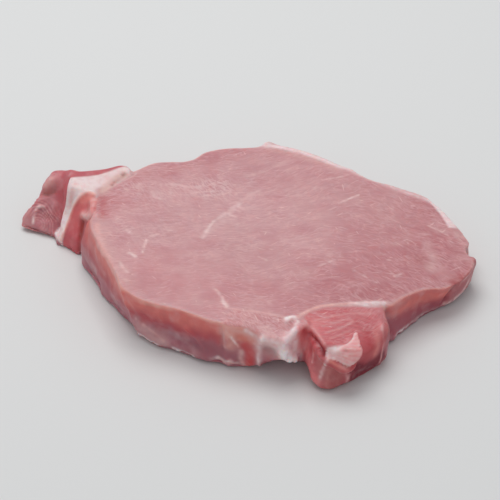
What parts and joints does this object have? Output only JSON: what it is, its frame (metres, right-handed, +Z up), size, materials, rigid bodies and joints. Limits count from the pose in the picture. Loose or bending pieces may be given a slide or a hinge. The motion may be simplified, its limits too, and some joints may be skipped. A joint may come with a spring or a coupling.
{
  "type": "raw boneless pork loin chop",
  "caption": "Flat slice of raw boneless pork loin, with a narrow tail of meat, a wedge of white fat and a torn front lobe; lies flat, nothing moves.",
  "frame": {"origin": "middle of the slice's footprint, on the worktop it lies on", "axes": "+X along the slice from its thin tail to its broad end, +Y from its front edge to its back edge, +Z up out of the upper cut face"},
  "size_m": [0.1392, 0.1014, 0.0174],
  "materials": {
    "raw_pork": "moist raw meat, satin, with a soft wet sheen"
  },
  "bodies": {
    "root": {"pork_chop": "raw_pork"}
  },
  "joints": []
}
